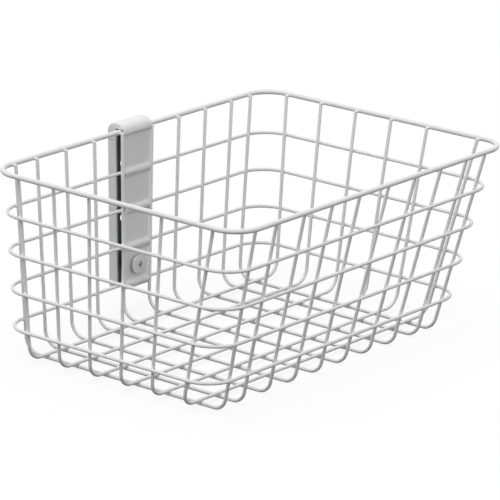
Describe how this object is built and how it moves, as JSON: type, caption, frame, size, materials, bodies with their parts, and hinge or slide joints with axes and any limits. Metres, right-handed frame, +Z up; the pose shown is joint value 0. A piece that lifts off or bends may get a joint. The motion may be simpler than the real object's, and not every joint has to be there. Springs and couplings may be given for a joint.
{
  "type": "wire basket",
  "caption": "Welded wire basket with outward-leaning walls, round hoops and a ribbed sheet bracket hooked over the back rim and clamped by a screw.",
  "frame": {"origin": "on the floor under the middle of the object's box", "axes": "+X along the long sides, +Y towards the back, where the bracket hangs over the rim, +Z up"},
  "size_m": [0.2764, 0.2203, 0.1354],
  "materials": {
    "coated_wire": "satin powder coat",
    "coated_sheet": "satin powder coat",
    "plated_steel": "zinc plated"
  },
  "bodies": {
    "root": {"rim_wire": "coated_wire", "hoop_wire_1": "coated_wire", "hoop_wire_2": "coated_wire", "hoop_wire_3": "coated_wire", "hoop_wire_4": "coated_wire", "lengthwise_wire_1": "coated_wire", "lengthwise_wire_2": "coated_wire", "lengthwise_wire_3": "coated_wire", "lengthwise_wire_4": "coated_wire", "lengthwise_wire_5": "coated_wire", "lengthwise_wire_6": "coated_wire", "crosswise_wire_1": "coated_wire", "crosswise_wire_2": "coated_wire", "crosswise_wire_3": "coated_wire", "crosswise_wire_4": "coated_wire", "crosswise_wire_5": "coated_wire", "crosswise_wire_6": "coated_wire", "crosswise_wire_7": "coated_wire", "crosswise_wire_8": "coated_wire", "crosswise_wire_9": "coated_wire", "crosswise_wire_10": "coated_wire", "hanger_bracket": "coated_sheet", "clamp_screw": "plated_steel", "clamp_nut": "plated_steel"}
  },
  "joints": []
}
